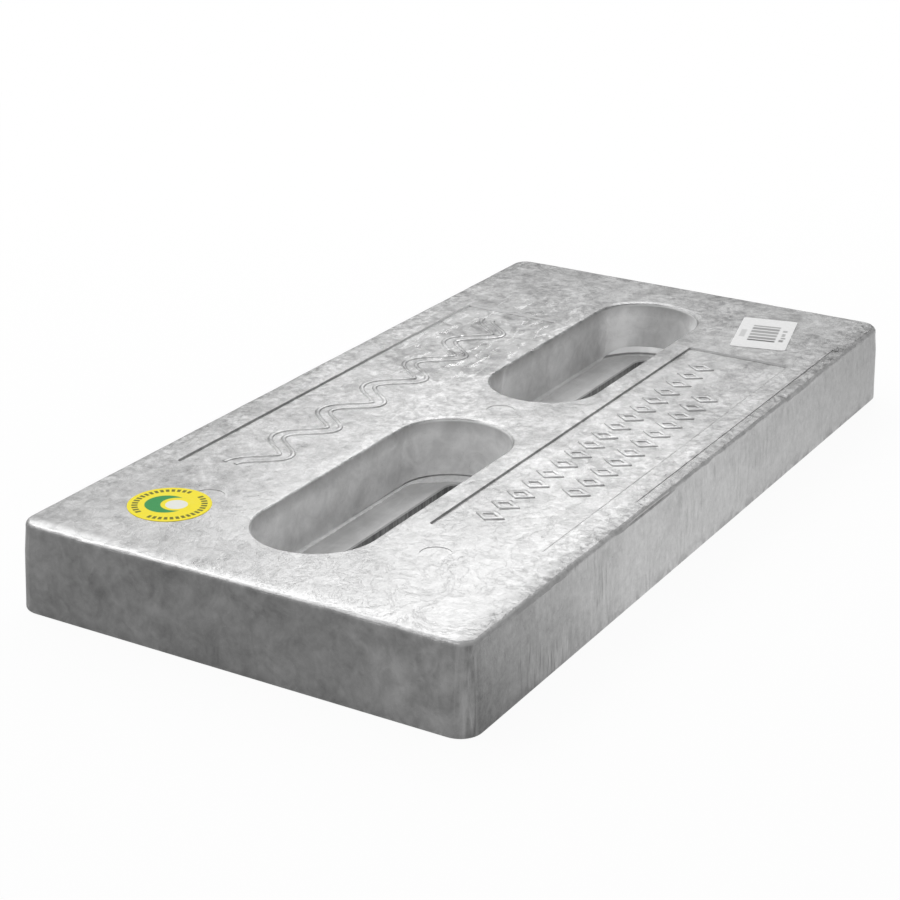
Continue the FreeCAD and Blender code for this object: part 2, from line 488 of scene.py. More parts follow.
FACING_UP = (0.6, 0.92)
SKIN_METALLIC = 0.85
SKIN_ROUGHNESS = 0.22
SKIN_RELIEF = 0.16 * MM
FACE_TONES = (0.33, 0.61)
BLOTCH_TONES = (0.80, 1.12)
SMOOTH_NEAR = 0.34
SMOOTH_TONE = 0.48
FAR_PAINTED_SHADE = 0.69
SPECKLE_TONES = (0.14, 0.62)
SHORT_SIDE_PAINTED_SHADE_TONES = (0.25, 0.47)
CORNER_PAINTED_LIGHT = 1.32
LONG_SIDE_NEAR_PAINTED_SHADE_TONES = (0.21, 0.40)
LONG_SIDE_FAR_TONES = (0.36, 0.60)
SCORED_X = -95 * MM
RECESS_PAINTED_LIGHT_TONES = (0.66, 0.90)
RECESS_TOP_SHADE = 0.72
NEAR_TURN_PAINTED_LIGHT = 0.08
FAR_TURN_PAINTED_LIGHT = 0.26
FAR_END_PAINTED_SHADE = 0.16
FAR_STRAIGHT_PAINTED_SHADE = 0.10
WALLS_HALF_X = (132 * MM, 134 * MM)
WALLS_HALF_Y = (20.0 * MM, 20.4 * MM)
SEAM_Y = 63.5 * MM
SEAM_X = 90.4 * MM
SEAM_HALF = 0.28 * MM
PANEL_WALL_IN = 0.3 * MM
UPPER_PANEL_Y = 22 * MM
WORN_CENTRE = (62 * MM, 40 * MM, FACE_Z)
WORN_REACH = (62 * MM, 34 * MM, 20 * MM)
ROLL_FROM = 0.6 * MM
ROLL_WIDTH = 2.8 * MM
ROLL_DROP = 2.2


def rolled_ends(tree, x, y):
    """1 on the face just outside a recess's far end, where the rim rolls over more softly."""
    local_x = maths(tree, "MULTIPLY_ADD", maths(tree, "SIGN", x), -RECESS_X, x)
    past = maths(tree, "MAXIMUM", 0.0, maths(tree, "SUBTRACT", local_x, RECESS_HALF_STRAIGHT))
    away = length_of(tree, put(tree, "ShaderNodeCombineXYZ", {"X": past, "Y": y}).outputs[0])
    rolled = fading(tree, away, RECESS_HALF_WIDTH + ROLL_FROM, RECESS_HALF_WIDTH + ROLL_WIDTH)
    return times(tree, rolled, spread(tree, maths(tree, "DIVIDE", past, away), 0.25, 0.75))


def cast_aluminium():
    """Cast skin: bright mottled face, sides with draw streaks and darker as painted shade, recess walls
    paler as painted light.
    """
    material, tree, surface = shader_tree("cast_aluminium_skin")
    coords = put(tree, "ShaderNodeTexCoord")
    place = coords.outputs["Object"]
    x, y, z = put(tree, "ShaderNodeSeparateXYZ", {0: place}).outputs
    to_x, to_y, to_z = put(tree, "ShaderNodeSeparateXYZ", {0: coords.outputs["Normal"]}).outputs
    cloud, mottle, crumple, fold, fine, pit, glint = grain_values(tree, place)

    # Where on the casting a point lies, and which way it faces
    off_x = maths(tree, "ABSOLUTE", x)
    off_y = maths(tree, "ABSOLUTE", y)
    endwise = maths(tree, "ABSOLUTE", to_x)
    sidewise = maths(tree, "ABSOLUTE", to_y)
    long_gap = maths(tree, "SUBTRACT", FACE_HALF_Y, off_y)
    short_gap = maths(tree, "ADD", x, FACE_HALF_X)
    near_long = maths(tree, "LESS_THAN", y, 0.0)
    far_half = maths(tree, "GREATER_THAN", x, 0.0)
    within = times(tree, maths(tree, "LESS_THAN", off_x, FACE_HALF_X - EDGE_BAND),
                   maths(tree, "LESS_THAN", off_y, FACE_HALF_Y - EDGE_BAND))
    upward = maths(tree, "MAXIMUM", spread(tree, to_z, *FACING_UP), within)
    inner = times(tree, fading(tree, off_y, *WALLS_HALF_Y), fading(tree, off_x, *WALLS_HALF_X),
                  fading(tree, z, FACE_Z - 1.0 * MM, FACE_Z - 0.3 * MM))
    outer = maths(tree, "SUBTRACT", 1.0, maths(tree, "MAXIMUM", inner, within))
    long_side = spread(tree, sidewise, 0.6, 0.9)
    low_wall = times(tree, within, fading(tree, to_z, *FACING_UP))
    # painted light: walls below the face that face along the block are painted pale, and not metal,
    # against their shade
    painted_light_facing_ends = times(tree, low_wall, spread(tree, endwise, 0.3, 0.6))
    panel_wall = maths(tree, "MAXIMUM", maths(tree, "GREATER_THAN", off_y, SEAM_Y - PANEL_WALL_IN),
                       maths(tree, "GREATER_THAN", x, SEAM_X - PANEL_WALL_IN))
    # painted light: the upper panel's outer walls in the far half are painted pale, and not metal, against
    # their shade
    painted_light_panel_wall = times(tree, low_wall, panel_wall, maths(tree, "GREATER_THAN", y, UPPER_PANEL_Y),
                      spread(tree, x, 0.0, 80 * MM))

    # Marks: draw streaks and scores, the worked edges with painted shade and a painted highlight, the
    # panel's mould seam, and a worn, stained patch
    patchy = grain(tree, place, 0.03, detail=3.0, shift=(8, 1, 6))
    streaks = grain(tree, place, (0.55, 0.55, 0.06), 5.0, 0.6, 0.7)
    scores = grain(tree, place, (0.8, 0.8, 0.07), 4.0, 0.6, 0.3, shift=(3, 1, 7))
    streaky = times(tree, long_side, outer, spread(tree, patchy, 0.42, 0.58, 0.12, 1.0),
                    spread(tree, from_level(tree, x, SCORED_X), 25 * MM, 60 * MM, 1.0, 0.25))
    score_line = times(tree, streaky, spread(tree, scores, 0.54, 0.68))
    # painted shade: the face darkened along the near long edge, deepest at the edge
    painted_edge_shade = times(tree, near_long, fading(tree, long_gap, 1.5 * MM, 7.0 * MM),
                      spread(tree, to_z, 0.88, 0.96))
    edge_pale = times(tree, near_long, fading(tree, long_gap, 3.0 * MM, 4.0 * MM),
                      fading(tree, to_z, 0.88, 0.96), spread(tree, to_z, 0.25, 0.45))
    # painted highlight: a pale band along the near short edge, fading towards the near corner; the band is
    # also made smoother
    smooth_edge_and_painted_highlight = times(tree, fading(tree, short_gap, 1.4 * MM, 5.4 * MM),
                  spread(tree, mottle, 0.38, 0.58, 0.55, 1.0), spread(tree, to_z, 0.85, 0.97),
                  spread(tree, y, -45 * MM, 10 * MM, 0.12, 1.0))
    gritty = times(tree, fading(tree, long_gap, 3.0 * MM, 14.0 * MM), spread(tree, to_z, 0.2, 0.5),
                   spread(tree, cloud, 0.40, 0.60, 0.35, 1.0),
                   spread(tree, x, -125 * MM, -70 * MM, 0.35, 1.0))
    seam = times(tree, fading(tree, from_level(tree, off_y, SEAM_Y), 0.5 * SEAM_HALF, 1.3 * SEAM_HALF),
                 maths(tree, "LESS_THAN", off_x, SEAM_X), spread(tree, mottle, 0.40, 0.54, 0.2, 1.0))
    from_patch = vectors(tree, "SUBTRACT", place, WORN_CENTRE)
    from_patch = length_of(tree, vectors(tree, "DIVIDE", from_patch, WORN_REACH))
    patch = fading(tree, from_patch, 0.5, 1.0)
    smear = grain(tree, place, (0.10, 0.34, 0.34), 5.0, 0.6, 0.6, turn=(0, 0, 0.5))
    worn = times(tree, patch, spread(tree, smear, 0.56, 0.62))
    stained = times(tree, patch, fading(tree, mottle, 0.36, 0.44))

    # The outer face
    tone = weighed(tree, (cloud, 0.30), (mottle, 0.26), (crumple, 0.28), (fine, 0.16))
    face = toned(tree, spread(tree, tone, 0.40, 0.60), FACE_TONES)
    blotch = grain(tree, place, 0.22, 6.0, 0.68, 1.2, shift=(5, 2, 9))
    blotchy = times(tree, spread(tree, patchy, 0.42, 0.56, 0.35, 1.0),
                    spread(tree, x, -120 * MM, -10 * MM, 0.35, 1.0))
    blotch_tone = toned(tree, spread(tree, blotch, 0.42, 0.58), BLOTCH_TONES)
    face = blend_colour(tree, blotchy, face, blotch_tone, "MULTIPLY")
    smooth_near = spread(tree, x, -125 * MM, -55 * MM, SMOOTH_NEAR, 0.0)
    face = blend_colour(tree, smooth_near, face, grey(SMOOTH_TONE))
    # painted here: shade along the near long edge, a highlight along the near short edge and light on the
    # end walls; the rest are marks in the metal
    for mask, strength, level in ((fold, 0.22, 0.20), (stained, 0.5, 0.26), (worn, 0.8, 0.95),
                                  (seam, 0.30, 0.07), (painted_edge_shade, 0.60, 0.16), (smooth_edge_and_painted_highlight, 0.85, 0.90),
                                  (painted_light_facing_ends, 0.7, 0.95)):
        face = tinted(tree, face, mask, strength, level)

    # The outer sides, with painted shade and painted light where their lighting differs
    short_tone = weighed(tree, (cloud, 0.45), (mottle, 0.35), (crumple, 0.20))
    short_tone = spread(tree, short_tone, 0.38, 0.62)
    # painted shade: the short side is painted darker than the face and the long sides' far part
    short = toned(tree, short_tone, SHORT_SIDE_PAINTED_SHADE_TONES)
    # painted light: the short side is paler towards the near corner
    short = shaded(tree, short, spread(tree, y, -68 * MM, -30 * MM, CORNER_PAINTED_LIGHT, 1.0))
    long_tone = blend_colour(tree, times(tree, streaky, 0.7), tone, streaks)
    long_tone = spread(tree, long_tone, 0.39, 0.61)
    # painted shade: the long sides are darker towards the near end
    long = blend_colour(tree, spread(tree, x, -150 * MM, -50 * MM),
                        toned(tree, long_tone, LONG_SIDE_NEAR_PAINTED_SHADE_TONES),
                        toned(tree, long_tone, LONG_SIDE_FAR_TONES))
    side = blend_colour(tree, long_side, short, long)
    # painted highlight: a pale streaky band down the rounded vertical corners
    corner_painted_highlight = times(tree, spread(tree, times(tree, endwise, sidewise), 0.22, 0.46),
                        spread(tree, streaks, 0.42, 0.62))
    # the sides darker towards the bottom, mottled
    darker_at_bottom = times(tree, fading(tree, z, 0.6 * MM, 4.5 * MM), spread(tree, mottle, 0.44, 0.56))
    for mask, strength, level in ((score_line, 0.75, 0.10), (corner_painted_highlight, 0.5, 0.74), (darker_at_bottom, 0.40, 0.10)):
        side = tinted(tree, side, mask, strength, level)

    # The recess walls: paler than the face as painted light against the recess's shade, with painted shade
    # just under the rim, and evened out where they turn into the round ends, by painted light on the turns
    # and painted shade on the rest of the far recess's walls
    recess = toned(tree, short_tone, RECESS_PAINTED_LIGHT_TONES)
    top_shade = spread(tree, z, FACE_Z - 5.0 * MM, FACE_Z - 1.2 * MM, 1.0, RECESS_TOP_SHADE)
    recess = shaded(tree, recess, top_shade)
    turning = times(tree, fading(tree, to_x, -0.30, -0.02), spread(tree, to_x, -0.95, -0.65))
    far_end_on = times(tree, far_half, fading(tree, to_x, -0.95, -0.65))
    far_straight = times(tree, far_half, spread(tree, to_x, -0.30, -0.02))
    painted_wall_light_and_shade = weighed(tree, (turning, NEAR_TURN_PAINTED_LIGHT), (times(tree, far_half, turning), FAR_TURN_PAINTED_LIGHT),
                     (far_end_on, -FAR_END_PAINTED_SHADE), (far_straight, -FAR_STRAIGHT_PAINTED_SHADE))
    recess = shaded(tree, recess, maths(tree, "ADD", painted_wall_light_and_shade, 1.0))

    # All of it together
    colour = blend_colour(tree, upward, side, face)
    # painted shade: the face and sides darker towards the far end
    colour = shaded(tree, colour, spread(tree, x, -20 * MM, 150 * MM, 1.0, FAR_PAINTED_SHADE))
    colour = blend_colour(tree, inner, colour, recess)
    # painted light on the upper panel's far walls, laid over the far end's painted shade
    colour = tinted(tree, colour, painted_light_panel_wall, 0.9, 0.95)
    speckle = toned(tree, spread(tree, crumple, 0.40, 0.60), SPECKLE_TONES)
    colour = blend_colour(tree, times(tree, gritty, 0.45), colour, speckle)
    colour = tinted(tree, colour, edge_pale, 0.45, 0.60)
    colour = tinted(tree, colour, pit, 0.5, 0.14)
    tree.links.new(colour, surface.inputs["Base Color"])
    # the walls with painted light are not metal
    painted_light_walls = maths(tree, "MAXIMUM", painted_light_facing_ends, painted_light_panel_wall)
    tree.links.new(spread(tree, painted_light_walls, 0.0, 1.0, SKIN_METALLIC, 0.0), surface.inputs["Metallic"])
    rough = weighed(tree, (spread(tree, mottle, 0.3, 0.7), 0.16), (spread(tree, cloud, 0.3, 0.7), 0.08),
                    (fine, 0.10), (inner, 0.22), (worn, -0.16), (smooth_edge_and_painted_highlight, -0.10), (edge_pale, 0.25),
                    (glint, -0.12))
    tree.links.new(maths(tree, "ADD", rough, SKIN_ROUGHNESS), surface.inputs["Roughness"])
    height = weighed(tree, (mottle, 0.8), (crumple, 0.6), (fold, -0.16), (fine, 0.12), (pit, -0.35),
                     (glint, 0.3), (seam, -0.8), (score_line, -0.35), (times(tree, gritty, crumple), 0.9),
                     (times(tree, streaks, streaky), 0.4), (rolled_ends(tree, x, y), -ROLL_DROP))
    give_relief(tree, surface, height, SKIN_RELIEF)
    return material


skin = cast_aluminium()
cast_block.data.materials.clear()
cast_block.data.materials.append(skin)
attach(cast_block, "root")
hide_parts("anode_block")

# The raised decoration on the two sunk panels. It is part of the same casting: low rounded ridges that the
# mould leaves, a double wave line above and rows of open lozenges below.
RIDGE_WIDTH = 1.7 * MM
RIDGE_HEIGHT = 0.50 * MM
PANEL_FLOOR = FACE_Z - 0.7 * MM
WAVE_Y = 44.0 * MM
WAVE_FROM_X = -82.0 * MM
WAVE_LENGTH = 27.0 * MM
WAVE_COUNT = 6
WAVE_STEPS = 40
WAVE_RISE = 5.6 * MM
WAVE_GAP = 2.1 * MM
WAVE_LEAN = 0.15
LOZENGE_HALF = (3.6 * MM, 5.0 * MM)
LOZENGE_STROKE = 1.5 * MM
LOZENGE_SUNK = 0.2 * MM
LOZENGE_SOFT = 0.32 * MM
LOZENGE_PITCH = 9.3 * MM
LOZENGE_ROWS = ((-38.2 * MM, -75.0 * MM, 17), (-51.7 * MM, -46.5 * MM, 11))
WEAR_SPAN = 13 * MM


def swept_ridge(name, points, width, height):
    """A low ridge with a rounded top along these points, as a mesh."""
    line = bpy.data.curves.new(name, "CURVE")
    line.dimensions = "3D"
    line.bevel_depth = width / 2
    line.bevel_resolution = 3
    line.use_fill_caps = True
    run = line.splines.new("POLY")
    run.points.add(len(points) - 1)
    for point, place in zip(run.points, points):
        point.co = (*place, 1)
    ridge = bpy.data.objects.new(name, line)
    bpy.context.scene.collection.objects.link(ridge)
    pick([ridge])
    bpy.ops.object.convert(target="MESH")
    ridge = bpy.context.active_object
    floor = points[0].z
    for vertex in ridge.data.vertices:
        vertex.co.z = floor + (vertex.co.z - floor) * height / (width / 2)
    return ridge


def wave_line(side):
    """One ridge of the double wave line: a run of sea waves with narrow crests, as a mesh."""
    steps = WAVE_STEPS * WAVE_COUNT
    pitch = WAVE_LENGTH / (2 * math.pi)
    lean = WAVE_LEAN * pitch
    points = []
    for step in range(steps + 1):
        turn = 2 * math.pi * WAVE_COUNT * step / steps
        wave_x = WAVE_FROM_X + pitch * turn + lean * math.sin(turn)
        middle = Vector((wave_x, WAVE_RISE * math.cos(turn), 0))
        slope = Vector((pitch + lean * math.cos(turn), -WAVE_RISE * math.sin(turn), 0)).normalized()
        across = Vector((-slope.y, slope.x, 0))
        points.append(middle + across * side * WAVE_GAP + Vector((0, WAVE_Y, PANEL_FLOOR)))
    return swept_ridge("wave_line", points, RIDGE_WIDTH, RIDGE_HEIGHT)


def lozenge(x, y):
    """One open lozenge: a four-cornered ring with a bevelled top."""
    bpy.ops.mesh.primitive_circle_add(vertices=4, radius=1.0, fill_type="NGON", location=(0, 0, 0))
    ring = bpy.context.active_object
    bpy.ops.object.mode_set(mode="EDIT")
    bpy.ops.transform.resize(value=(*LOZENGE_HALF, 1))
    bpy.ops.mesh.inset(thickness=LOZENGE_STROKE, use_even_offset=True)
    bpy.ops.mesh.delete(type="FACE")
    bpy.ops.mesh.select_all(action="SELECT")
    rise = (0, 0, RIDGE_HEIGHT + LOZENGE_SUNK)
    bpy.ops.mesh.extrude_region_move(TRANSFORM_OT_translate={"value": rise})
    bpy.ops.mesh.select_all(action="SELECT")
    bpy.ops.mesh.normals_make_consistent(inside=False)
    bpy.ops.transform.translate(value=(x, y, PANEL_FLOOR - LOZENGE_SUNK))
    bpy.ops.object.mode_set(mode="OBJECT")
    soften = ring.modifiers.new("soften", "BEVEL")
    soften.width = LOZENGE_SOFT
    soften.segments = 2
    bpy.ops.object.modifier_apply(modifier="soften")
    return ring


ridges = [wave_line(-1), wave_line(1)]
for row_y, first_x, count in LOZENGE_ROWS:
    ridges += [lozenge(first_x + LOZENGE_PITCH * i, row_y) for i in range(count)]
pick(ridges)
bpy.ops.object.join()
panel_relief = bpy.context.active_object
panel_relief.name = "panel_relief"
for vertex in panel_relief.data.vertices:
    rise = vertex.co.z - PANEL_FLOOR
    if rise > 0:
        wear = 0.5 + 0.5 * noise.noise(vertex.co / WEAR_SPAN)
        vertex.co.z = PANEL_FLOOR + rise * (1.1 - 0.55 * wear)
pick([panel_relief])
bpy.ops.object.transform_apply(location=True, rotation=True, scale=True)
bpy.ops.object.shade_smooth_by_angle(angle=math.radians(50))
panel_relief.data.materials.clear()
panel_relief.data.materials.append(skin)
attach(panel_relief, "root")


# The flash at the foot of each recess: thin ragged aluminium that ran between the mould's core and the
# strap. It is part of the casting and lies on the steel.
FLASH_POINTS = 420
FLASH_LIFT = 0.16 * MM
FLASH_ROOT = 0.6 * MM
RAGGED_SPANS = (3.0 * MM, 0.9 * MM)
CLIMB_FROM = 17 * MM
CLIMB_FULL = 5 * MM
CLIMB_LEAN = 0.02
FOOT_HALF_LENGTH = 56.2 * MM
FOOT_HALF_WIDTH = 17.7 * MM
# How much of its lift and of its climb each of the ring's four rows has, from the wall to the thin lip
ROW_LIFTS = (1.5, 1.0, 0.55, 0.05)
ROW_CLIMBS = (1.0, 0.35, 0.03, 0.0)
ROW_REACHES = (0.0, 0.45, 0.9, 1.0)
FLASH_BRIGHT_Z = 1.1 * MM
FLASH_TONES = (0.74, 0.97)
FAR_FLASH_SHADOW_AND_FOOT_TONES = (0.24, 0.55)
FLASH_RELIEF = 0.10 * MM


def fresh_metal():
    """Thin flash. At the far recess a painted shadow line parts its grey foot from the bright metal up the
    wall.
    """
    material, tree, surface = shader_tree("fresh_thin_metal")
    place = put(tree, "ShaderNodeTexCoord").outputs["Object"]
    crumple = grain_values(tree, place)["Crumple"]
    where = put(tree, "ShaderNodeSeparateXYZ", {0: place}).outputs
    above = maths(tree, "SUBTRACT", where["Z"], STRAP_TOP)
    raised = spread(tree, above, FLASH_BRIGHT_Z, FLASH_BRIGHT_Z + 0.25 * MM)
    foot = fading(tree, above, 0.4 * FLASH_BRIGHT_Z, 0.6 * FLASH_BRIGHT_Z)
    near_shade = toned(tree, spread(tree, crumple, 0.35, 0.65), FLASH_TONES)
    # painted shadow: a dark line between the far flash's grey foot and the bright metal climbing the wall
    far_flash_with_painted_shadow = blend_colour(tree, raised, toned(tree, foot, FAR_FLASH_SHADOW_AND_FOOT_TONES), grey(FLASH_TONES[1]))
    shade = blend_colour(tree, spread(tree, where["X"], 0.0, 100 * MM), near_shade, far_flash_with_painted_shadow)
    tree.links.new(shade, surface.inputs["Base Color"])
    surface.inputs["Metallic"].default_value = 0.25
    surface.inputs["Roughness"].default_value = 0.36
    give_relief(tree, surface, crumple, FLASH_RELIEF)
    return material


fresh_thin_metal = fresh_metal()


def around(share, half_length, half_width):
    """A point on a straight-sided outline with round ends, by share of the way, and the way out there."""
    half = half_length - half_width
    straight = 2 * half
    arc = math.pi * half_width
    way = share * 2 * (straight + arc)
    if way < straight:
        return Vector((-half + way, -half_width, 0)), Vector((0, -1, 0))
    way -= straight
    if way < arc:
        turn = -math.pi / 2 + way / half_width
        outward = Vector((math.cos(turn), math.sin(turn), 0))
        return Vector((half, 0, 0)) + outward * half_width, outward
    way -= arc
    if way < straight:
        return Vector((half - way, half_width, 0)), Vector((0, 1, 0))
    turn = math.pi / 2 + (way - straight) / half_width
    outward = Vector((math.cos(turn), math.sin(turn), 0))
    return Vector((-half, 0, 0)) + outward * half_width, outward


def seam_flash(name, centre_x, tongue, climb):
    """A ragged ring of flash. At the far end it reaches in by tongue and climbs the wall."""
    bpy.ops.object.select_all(action="DESELECT")
    bpy.ops.mesh.primitive_circle_add(vertices=FLASH_POINTS, radius=1.0, fill_type="NOTHING",
                                      location=(0, 0, 0))
    ring = bpy.context.active_object
    bpy.ops.object.mode_set(mode="EDIT")
    bpy.ops.mesh.select_all(action="SELECT")
    for row in ROW_LIFTS[1:]:
        bpy.ops.mesh.extrude_edges_move(TRANSFORM_OT_translate={"value": (0, 0, 0)})
    bpy.ops.object.mode_set(mode="OBJECT")
    for i, vertex in enumerate(ring.data.vertices):
        row = i // FLASH_POINTS
        place, outward = around((i % FLASH_POINTS) / FLASH_POINTS, FOOT_HALF_LENGTH, FOOT_HALF_WIDTH)
        ragged = abs(noise.noise(place / RAGGED_SPANS[0] + Vector((centre_x * 50, 0, 2))))
        ragged += 0.5 * abs(noise.noise(place / RAGGED_SPANS[1]))
        far_end = ramp(place.x, FOOT_HALF_LENGTH - CLIMB_FROM, FOOT_HALF_LENGTH - CLIMB_FULL)
        reach = (0.15 + 0.6 * ragged) * MM + tongue * far_end
        inward = reach * ROW_REACHES[row]
        if row == 0:
            inward = -FLASH_ROOT - climb * CLIMB_LEAN * far_end
        lift = FLASH_LIFT * ROW_LIFTS[row] + climb * far_end * ROW_CLIMBS[row]
        vertex.co = place - outward * inward + Vector((centre_x, 0, STRAP_TOP + lift))
    ring.name = name
    ring.data.name = name
    pick([ring])
    bpy.ops.object.mode_set(mode="EDIT")
    bpy.ops.mesh.select_all(action="SELECT")
    bpy.ops.mesh.normals_make_consistent(inside=False)
    bpy.ops.object.mode_set(mode="OBJECT")
    if ring.data.polygons[0].normal.z < 0:
        ring.data.flip_normals()
    bpy.ops.object.shade_smooth()
    ring.data.materials.append(fresh_thin_metal)
    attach(ring, "root")


seam_flash("near_recess_flash", -RECESS_X, 3.6 * MM, 0.1 * MM)
seam_flash("far_recess_flash", RECESS_X, 0.7 * MM, 2.9 * MM)


# The core strap. A flat bar of galvanised steel with two long punched bolt slots, cast into the block.
# It shows at the bottom of the recesses, dull grey with smears of aluminium and scored slot walls.
STRAP_TONES = (0.50, 0.68)
STRAP_ROUGHNESS = (0.55, 0.72)
STRAP_RELIEF = 0.12 * MM
SLOT_WALL_PAINTED_SHADE_TONES = (0.09, 0.24)


def dull_galvanised_steel():
    """Dull zinc skin with long smears, and slot walls darkened as painted shade and scored by the punch.
    """
    material, tree, surface = shader_tree("dull_galvanised_steel")
    coords = put(tree, "ShaderNodeTexCoord")
    place = coords.outputs["Object"]
    to_z = put(tree, "ShaderNodeSeparateXYZ", {0: coords.outputs["Normal"]}).outputs["Z"]
    upright = fading(tree, maths(tree, "ABSOLUTE", to_z), 0.5, 0.8)
    metal = grain_values(tree, place)
    smear = grain(tree, place, (0.06, 0.5, 0.5), 4.0, 0.6, 0.8)
    score = grain(tree, place, (1.3, 1.3, 0.05), 3.0, 0.6)
    tone = weighed(tree, (metal["Cloud"], 0.35), (metal["Mottle"], 0.35), (smear, 0.20),
                   (metal["Fine"], 0.10))
    flat = toned(tree, spread(tree, tone, 0.38, 0.62), STRAP_TONES)
    # painted shade: the slot walls are painted dark, streaked with the punch's scores
    punched_wall_painted_shade = toned(tree, spread(tree, score, 0.36, 0.64), SLOT_WALL_PAINTED_SHADE_TONES)
    tree.links.new(blend_colour(tree, upright, flat, punched_wall_painted_shade), surface.inputs["Base Color"])
    surface.inputs["Metallic"].default_value = 0.35
    rough = spread(tree, metal["Mottle"], 0.3, 0.7, *STRAP_ROUGHNESS)
    tree.links.new(rough, surface.inputs["Roughness"])
    give_relief(tree, surface, weighed(tree, (tone, 0.5), (score, upright)), STRAP_RELIEF)
    return material


core_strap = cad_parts["core_strap"]
core_strap.material_slots[0].material = dull_galvanised_steel()


# The round sticker. Printed plastic film on the outer face: a yellow disc with a ring of plain dark ticks,
# a green crescent and a white disc.
sticker_low, sticker_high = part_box("round_sticker")
STICKER_CENTRE = ((sticker_low.x + sticker_high.x) / 2, (sticker_low.y + sticker_high.y) / 2)
STICKER_TURN = math.radians(-12)
STICKER_RELIEF = 0.10 * MM
TICK_COUNT = 38
TICK_RING = (9.3, 11.1)
TICK_GAP = 0.16
CRESCENT = ((-0.6, 0.9), 6.3)
CRESCENT_BITE = ((1.5, -1.4), 4.7)
PALE_DISC = ((1.3, -1.6), 3.3)
STICKER_YELLOW = (0.93, 0.78, 0.012, 1.0)
STICKER_FADED = (0.86, 0.80, 0.20, 1.0)
STICKER_GREEN = (0.035, 0.30, 0.08, 1.0)
STICKER_WHITE = (0.80, 0.81, 0.76, 1.0)
STICKER_INK = (0.035, 0.06, 0.01, 1.0)


def label_place():
    """A group that says where a point is on a sticker: mm along and across it from its centre."""
    sockets = [("Place", "NodeSocketVector"), ("Centre", "NodeSocketVector"), ("Turn", "NodeSocketFloat")]
    group, given, result = effect_group("label_place", sockets, ("Along", "Across"))
    moved = vectors(group, "SUBTRACT", given.outputs["Place"], given.outputs["Centre"])
    turned = put(group, "ShaderNodeVectorRotate", {"Vector": moved, "Angle": given.outputs["Turn"]},
                 rotation_type="Z_AXIS", invert=True).outputs[0]
    split = put(group, "ShaderNodeSeparateXYZ", {0: turned})
    for socket, axis in (("Along", "X"), ("Across", "Y")):
        group.links.new(maths(group, "DIVIDE", split.outputs[axis], MM), result.inputs[socket])
    return group


LABEL_PLACE = label_place()


def on_label(tree, place, centre, turn):
    """How far a place is along and across a sticker, in mm from the sticker's centre."""
    node = put(tree, "ShaderNodeGroup", node_tree=LABEL_PLACE)
    tree.links.new(place, node.inputs["Place"])
    node.inputs["Centre"].default_value = (*centre, 0)
    node.inputs["Turn"].default_value = turn
    return node.outputs["Along"], node.outputs["Across"]


def inside_circle(tree, along, across, centre, radius, soft=0.12):
    """1 inside a circle in mm, 0 outside, with a soft edge."""
    dx = maths(tree, "SUBTRACT", along, centre[0])
    dy = maths(tree, "SUBTRACT", across, centre[1])
    away = maths(tree, "SQRT", weighed(tree, (dx, dx), (dy, dy)))
    return fading(tree, away, radius - soft, radius + soft)


def printed_film():
    """Semi-gloss yellow film with the tick ring in two halves, the crescent and the pale disc."""
    material, tree, surface = shader_tree("printed_yellow_film")
    place = put(tree, "ShaderNodeTexCoord").outputs["Object"]
    along, across = on_label(tree, place, STICKER_CENTRE, STICKER_TURN)
    turn = maths(tree, "ARCTAN2", across, along)
    tick = maths(tree, "FRACT", times(tree, turn, TICK_COUNT / (2 * math.pi)))
    tick = fading(tree, from_level(tree, tick, 0.5), 0.26, 0.36)
    band = maths(tree, "SUBTRACT", inside_circle(tree, along, across, (0, 0), TICK_RING[1]),
                 inside_circle(tree, along, across, (0, 0), TICK_RING[0]))
    halves = maths(tree, "GREATER_THAN", maths(tree, "ABSOLUTE", maths(tree, "SINE", turn)), TICK_GAP)
    crescent = maths(tree, "SUBTRACT", inside_circle(tree, along, across, *CRESCENT),
                     inside_circle(tree, along, across, *CRESCENT_BITE))
    crescent = maths(tree, "MAXIMUM", crescent, 0.0)
    disc = inside_circle(tree, along, across, *PALE_DISC)
    shade = grain(tree, place, 0.3, detail=3.0)
    colour = blend_colour(tree, spread(tree, shade, 0.3, 0.7, 0.0, 0.16), STICKER_YELLOW, STICKER_FADED)
    colour = blend_colour(tree, crescent, colour, STICKER_GREEN)
    colour = blend_colour(tree, disc, colour, STICKER_WHITE)
    colour = blend_colour(tree, times(tree, tick, band, halves, 0.85), colour, STICKER_INK)
    tree.links.new(colour, surface.inputs["Base Color"])
    surface.inputs["Roughness"].default_value = 0.55
    surface.inputs["Specular IOR Level"].default_value = 0.2
    give_relief(tree, surface, shade, STICKER_RELIEF)
    return material


round_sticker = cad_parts["round_sticker"]
round_sticker.material_slots[0].material = printed_film()


# The oblong label. White paper stuck on at an angle near the far corner, printed with plain grey bars.
LABEL_CENTRE = tuple((low + high) / 2 for low, high in zip(*[c[:2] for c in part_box("bar_label")]))
LABEL_TURN = math.radians(14)
LABEL_RELIEF = 0.03 * MM
PAPER_TONES = (0.74, 0.80)
INK_TONE = 0.08
# The bars: middle along the label and half width in mm, and how dark
BARS = ((-8.0, 0.7, 0.95), (-5.2, 1.2, 0.65), (-1.8, 1.2, 0.55), (1.6, 1.3, 0.6), (5.0, 1.2, 0.65),
        (7.8, 0.7, 0.6))
BAR_HALF = 4.9
# Small plain blocks beside the bars: middle and half size in mm, and how dark
SIDE_BLOCKS = (((-1.5, 7.4), (4.0, 1.0), 0.28), ((-6.5, -6.9), (1.2, 0.8), 0.7),
               ((-3.5, -7.3), (0.8, 0.8), 0.6), ((0.0, -7.0), (1.6, 0.6), 0.5),
               ((4.2, -7.0), (1.0, 0.8), 0.5))


